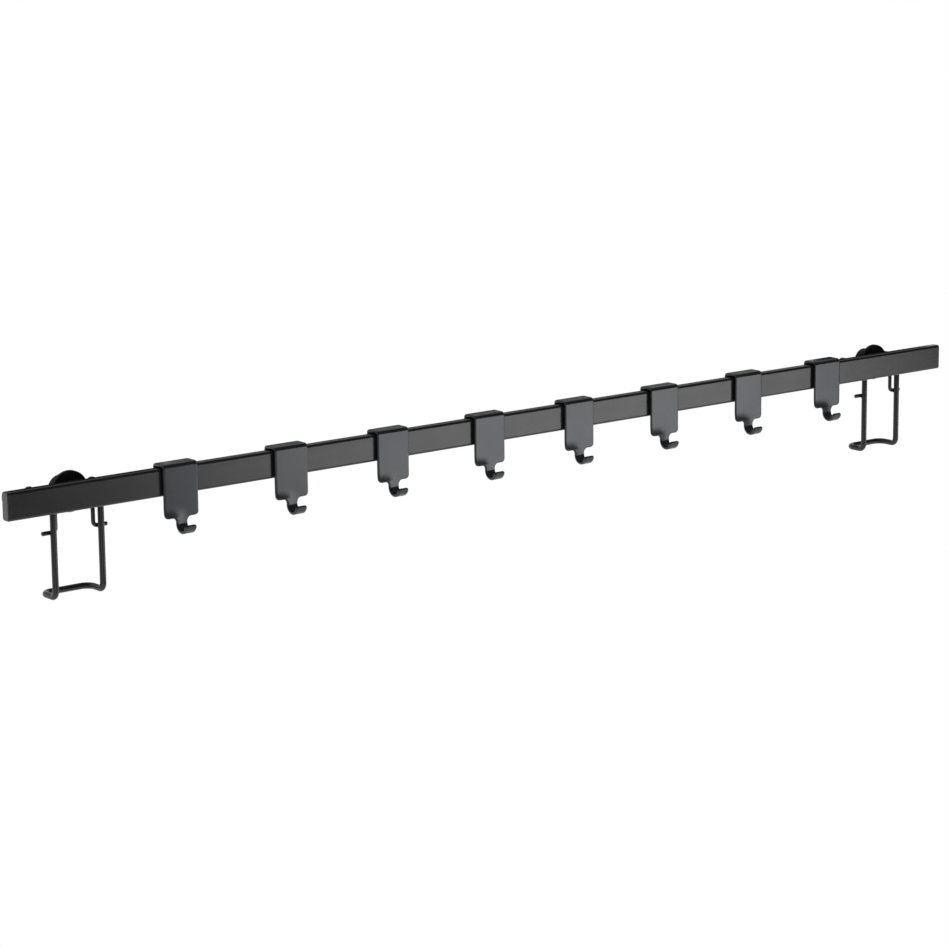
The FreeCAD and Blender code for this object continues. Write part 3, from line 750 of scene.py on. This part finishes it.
class UTENSIL_OT_bracket_frames(bpy.types.Operator):
    """Bend the thick wire of both brackets"""

    bl_idname = "utensil.bracket_frames"
    bl_label = "Bracket frames"

    def execute(self, context):
        sizes, finish = settings().wire, settings().finish
        coat = satin_paint("wire_satin_black", finish.wire, finish.gloss, grain=0.1)
        half = sizes.leg_spacing / 2
        front = leg_depth(sizes)
        back = -sizes.frame_wire / 2
        low = -sizes.leg_drop + sizes.frame_wire / 2
        places = ((half, front, sizes.leg_rise), (half, front, low), (half, back, low))
        radii = [sizes.leg_bend, sizes.frame_bend, sizes.frame_bend, sizes.leg_bend]
        route = wire_route(mirrored([Vector(p) for p in places]), radii, BEND_STEP)
        for side in SIDES:
            bm = bmesh.new()
            wire(bm, shifted(route, bracket_middle(side)), sizes.frame_wire / 2, sizes.around, sizes.tip)
            bent = new_piece(f"bracket_frame_{side}_bent", bm, coat, ROOT_BODY)
            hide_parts(f"bracket_frame_{side}")
        return {"FINISHED"}


class UTENSIL_OT_hanger_loops(bpy.types.Operator):
    """Bend the thin wire that hangs on the buttons"""

    bl_idname = "utensil.hanger_loops"
    bl_label = "Hanger loops"

    def execute(self, context):
        sizes = settings().wire
        coat = bpy.data.materials["wire_satin_black"]
        foot_y = leg_depth(sizes) + (sizes.frame_wire + sizes.loop_wire) / 2 + sizes.seam
        riser_x, arch_y = sizes.riser_spacing / 2, -sizes.arch_depth
        half = [(sizes.foot_span / 2, foot_y, -sizes.foot_drop), (riser_x, foot_y, -sizes.foot_drop),
                (riser_x, foot_y, -sizes.lean_drop), (riser_x, arch_y, -sizes.shoulder_drop),
                (sizes.arch, arch_y, -sizes.arch_drop), (sizes.arch, arch_y, sizes.arch)]
        corners = mirrored([Vector(p) for p in half])
        radii = [sizes.loop_bend] * (len(half) - 2) + [sizes.arch]
        route = wire_route(corners, radii + radii[::-1], LOOP_STEP)
        for side in SIDES:
            bm = bmesh.new()
            wire(bm, shifted(route, bracket_middle(side)), sizes.loop_wire / 2, sizes.around, sizes.tip)
            loop = new_piece(f"hanger_loop_{side}_bent", bm, coat, ROOT_BODY)
            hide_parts(f"hanger_loop_{side}")
        return {"FINISHED"}


class UTENSIL_OT_welds(bpy.types.Operator):
    """Lay the weld beads that join legs, feet and rail"""

    bl_idname = "utensil.welds"
    bl_label = "Welds"

    def execute(self, context):
        wires, welds = settings().wire, settings().weld
        coat = bpy.data.materials["wire_satin_black"]
        for side in SIDES:
            bm = bmesh.new()
            for leg in BOTH_WAYS:
                leg_x = bracket_middle(side) + leg * wires.leg_spacing / 2
                for flank in BOTH_WAYS:
                    self.seam(bm, wires, welds, leg_x + flank * wires.frame_wire / 2 * welds.reach)
                self.lap(bm, wires, welds, leg_x)
            new_piece(f"welds_{side}", bm, coat, ROOT_BODY)
        return {"FINISHED"}

    def seam(self, bm, wires, welds, across):
        """An upright bead in the corner between a leg and the rail's back."""
        rail_back, rail_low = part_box("rail")[1].y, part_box("rail")[0].z
        place = Vector((across, rail_back + welds.depth * welds.bead, 0))
        low = rail_low + welds.end * welds.bead
        high = wires.leg_rise - welds.end * welds.bead
        shares = [k / welds.rings for k in range(welds.rings + 1)]
        route = [place + Vector((0, 0, low + (high - low) * part)) for part in shares]
        self.bead(bm, welds, route, welds.bead, welds.tip)

    def lap(self, bm, wires, welds, leg_x):
        """Two short beads where a foot crosses behind a leg."""
        touch_y = leg_depth(wires) + wires.frame_wire / 2
        run = wires.loop_wire * welds.lap_run
        shares = [k / welds.lap_rings for k in range(welds.lap_rings + 1)]
        for flank in BOTH_WAYS:
            height = -wires.foot_drop + flank * welds.lap_spread * wires.loop_wire
            route = [Vector((leg_x + (part - 1 / 2) * run, touch_y, height)) for part in shares]
            self.bead(bm, welds, route, welds.bead * welds.lap_bead, welds.lap_tip)

    def bead(self, bm, welds, route, radius, tip):
        """A rippled bead along a route."""

        def ripple(k):
            return 1 - welds.ripple * (1 - math.cos(k * welds.ripple_turn))

        wire(bm, route, radius, welds.around, welds.bead * tip, ripple)


class UTENSIL_OT_wall_plates(bpy.types.Operator):
    """Paint the wall plates, their buttons and their screws"""

    bl_idname = "utensil.wall_plates"
    bl_label = "Wall plates"

    def execute(self, context):
        finish = settings().finish
        coat = satin_paint("plate_satin_black", finish.plate, finish.matt, ior=1.25)
        steel = blackened_steel("screw_black_oxide", finish.screw)
        for side in SIDES:
            paint(NODES[f"wall_plate_{side}"], coat)
            paint(NODES[f"hanger_button_{side}"], coat)
            paint(NODES[f"button_screw_{side}"], steel)
        return {"FINISHED"}


class UTENSIL_OT_stage(bpy.types.Operator):
    """Set up the camera, the lamps, the dark cards, the pale floor and the white background"""

    bl_idname = "utensil.stage"
    bl_label = "Stage"

    def execute(self, context):
        stage = settings().stage
        context.scene.view_settings.view_transform = "Standard"
        self.camera(context, stage)
        self.floor(context, stage)
        self.world(context, stage)
        rail_front = Vector((0.0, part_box("rail")[0].y, 0.0))
        panel_size = (stage.panel_width, stage.panel_height)
        for name, across, near, power in (
                ("right_panel", stage.panel_side, stage.panel_near, stage.panel_power),
                ("left_panel", -stage.panel_side, stage.panel_near, stage.side_power),
                ("front_panel", 0.0, stage.front_near, stage.front_power)):
            self.lamp(context, name, power, panel_size, (across, -near, -stage.panel_drop), rail_front)
        key_size = (stage.key_width, stage.key_height)
        key = self.lamp(context, "wide_key", stage.key_power, key_size, stage.key_place, rail_front)
        key.visible_glossy = False
        end_size = (stage.end_card_width, stage.end_card_height)
        middle_size = (stage.middle_card_width, stage.middle_card_height)
        self.dark_card(context, "dark_card_left", stage.left_card, end_size)
        self.dark_card(context, "dark_card_middle", stage.middle_card, middle_size)
        self.dark_card(context, "dark_card_right", stage.right_card, end_size)
        return {"FINISHED"}

    def camera(self, context, stage):
        """The photograph's viewing angle."""
        flat = math.cos(stage.pitch)
        forward = Vector((math.sin(stage.yaw) * flat, math.cos(stage.yaw) * flat, math.sin(stage.pitch)))
        level = Vector((math.cos(stage.yaw), -math.sin(stage.yaw), 0.0))
        upright = level.cross(forward)
        right = math.cos(stage.roll) * level + math.sin(stage.roll) * upright
        up = math.cos(stage.roll) * upright - math.sin(stage.roll) * level
        turn = Matrix((right, up, -forward)).transposed()
        data = bpy.data.cameras.new("photo_camera")
        data.lens = stage.lens
        data.sensor_width = SENSOR_WIDTH
        data.clip_end = SIGHT
        camera = bpy.data.objects.new("photo_camera", data)
        camera.matrix_world = Matrix.Translation(stage.eye) @ turn.to_4x4()
        context.scene.collection.objects.link(camera)
        context.scene.camera = camera

    def lamp(self, context, name, power, size, place, target):
        """A rectangular soft box that faces a point and that the camera doesn't see."""
        data = bpy.data.lights.new(name, "AREA")
        data.shape = "RECTANGLE"
        data.size, data.size_y = size
        data.energy = power
        lamp = bpy.data.objects.new(name, data)
        lamp.location = place
        lamp.rotation_euler = (target - Vector(place)).to_track_quat("-Z", "Y").to_euler()
        lamp.visible_camera = False
        context.scene.collection.objects.link(lamp)
        return lamp

    def screen(self, context, name, corners, material):
        """A flat sheet of the studio."""
        bm = bmesh.new()
        bm.faces.new([bm.verts.new(corner) for corner in corners])
        mesh = bpy.data.meshes.new(name)
        bm.to_mesh(mesh)
        bm.free()
        sheet = bpy.data.objects.new(name, mesh)
        context.scene.collection.objects.link(sheet)
        paint(sheet, material)
        return sheet

    def dark_card(self, context, name, place, size):
        """An upright black card behind the rail, which only the top of the rail mirrors."""
        x, y, z = place
        width, height = size
        material, pen = new_material(name)
        black = pen.make("ShaderNodeBsdfDiffuse", {}, {"Color": (*BLACK, 1.0)})
        pen.make("ShaderNodeOutputMaterial", {}, {"Surface": black})
        quarters = ((-1, -1), (1, -1), (1, 1), (-1, 1))
        corners = [(x + i * width / 2, y, z + j * height / 2) for i, j in quarters]
        card = self.screen(context, name, corners, material)
        card.visible_camera = False
        card.visible_diffuse = False
        card.visible_shadow = False

    def floor(self, context, stage):
        """A pale floor well below the rail."""
        material, pen = new_material("pale_floor")
        camera, mirrored_ray, through = self.rays(pen)
        seen = camera.at_least(mirrored_ray).at_least(through)
        chalk = pen.make("ShaderNodeBsdfDiffuse", {}, {"Color": (*CHALK, 1.0)})
        white = pen.make("ShaderNodeEmission", {}, {"Color": (*WHITE, 1.0), "Strength": 1.0})
        mixed = pen.make("ShaderNodeMixShader", {}, {0: seen, 1: chalk, 2: white})
        pen.make("ShaderNodeOutputMaterial", {}, {"Surface": mixed})
        far, near, low = stage.floor_reach, -stage.floor_front, -stage.floor_drop
        corners = ((-far, near, low), (far, near, low), (far, far, low), (-far, far, low))
        floor = self.screen(context, "floor", corners, material)

    def rays(self, pen):
        """The rays that show the background: from the camera, off gloss and through glass."""
        kinds = ("Camera", "Glossy", "Transmission")
        return [pen.make("ShaderNodeLightPath", out=f"Is {kind} Ray") for kind in kinds]

    def world(self, context, stage):
        """White where the camera looks. The paint mirrors a white backdrop and a dim room."""
        world = bpy.data.worlds.new("studio")
        world.use_nodes = True
        world.node_tree.nodes.clear()
        context.scene.world = world
        pen = Tone(world.node_tree)
        way = pen.make("ShaderNodeTexCoord", out="Generated")
        behind = pen.make("ShaderNodeSeparateXYZ", {}, {"Vector": way}, "Y").between(low=-0.15, high=0.35)
        above = pen.make("ShaderNodeSeparateXYZ", {}, {"Vector": way}, "Z").between(low=0.2, high=0.6)
        camera, mirrored_ray, through = self.rays(pen)
        shown = camera.at_least(mirrored_ray.at_least(through) * behind * (1.0 - above))
        light = shown.at_least(stage.room + stage.backdrop * behind)
        sky = pen.make("ShaderNodeBackground", {}, {"Color": (*WHITE, 1.0), "Strength": light})
        pen.make("ShaderNodeOutputWorld", {}, {"Surface": sky})


class UTENSIL_PT_panel(bpy.types.Panel):
    """Lists the pieces in the sidebar"""

    bl_idname = "UTENSIL_PT_panel"
    bl_label = "Utensil Rail"
    bl_space_type = "VIEW_3D"
    bl_region_type = "UI"
    bl_category = "Utensil Rail"

    def draw(self, context):
        for operator in OPERATORS:
            self.layout.operator(operator.bl_idname)


class UtensilRail(bpy.types.PropertyGroup):
    """All settings of the rail."""

    rail: PointerProperty(type=RailSizes)
    hook: PointerProperty(type=HookSizes)
    wire: PointerProperty(type=WireSizes)
    weld: PointerProperty(type=WeldSizes)
    finish: PointerProperty(type=FinishColours)
    stage: PointerProperty(type=StageSettings)


OPERATORS = (UTENSIL_OT_rail, UTENSIL_OT_end_caps, UTENSIL_OT_hooks, UTENSIL_OT_bracket_frames,
             UTENSIL_OT_hanger_loops, UTENSIL_OT_welds, UTENSIL_OT_wall_plates, UTENSIL_OT_stage)
GROUPS = (RailSizes, HookSizes, WireSizes, WeldSizes, FinishColours, StageSettings, UtensilRail)


def register():
    """Registers all classes and hangs the settings on the scene."""
    for cls in (*GROUPS, *OPERATORS, UTENSIL_PT_panel):
        bpy.utils.register_class(cls)
    bpy.types.Scene.utensil_rail = PointerProperty(type=UtensilRail)


def unregister():
    """Takes the settings and the classes away again."""
    del bpy.types.Scene.utensil_rail
    for cls in (UTENSIL_PT_panel, *reversed(OPERATORS), *reversed(GROUPS)):
        bpy.utils.unregister_class(cls)


def main():
    """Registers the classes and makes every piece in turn."""
    register()
    bpy.ops.utensil.rail()
    bpy.ops.utensil.end_caps()
    bpy.ops.utensil.hooks()
    bpy.ops.utensil.bracket_frames()
    bpy.ops.utensil.hanger_loops()
    bpy.ops.utensil.welds()
    bpy.ops.utensil.wall_plates()
    bpy.ops.utensil.stage()


if __name__ == "__main__":
    main()
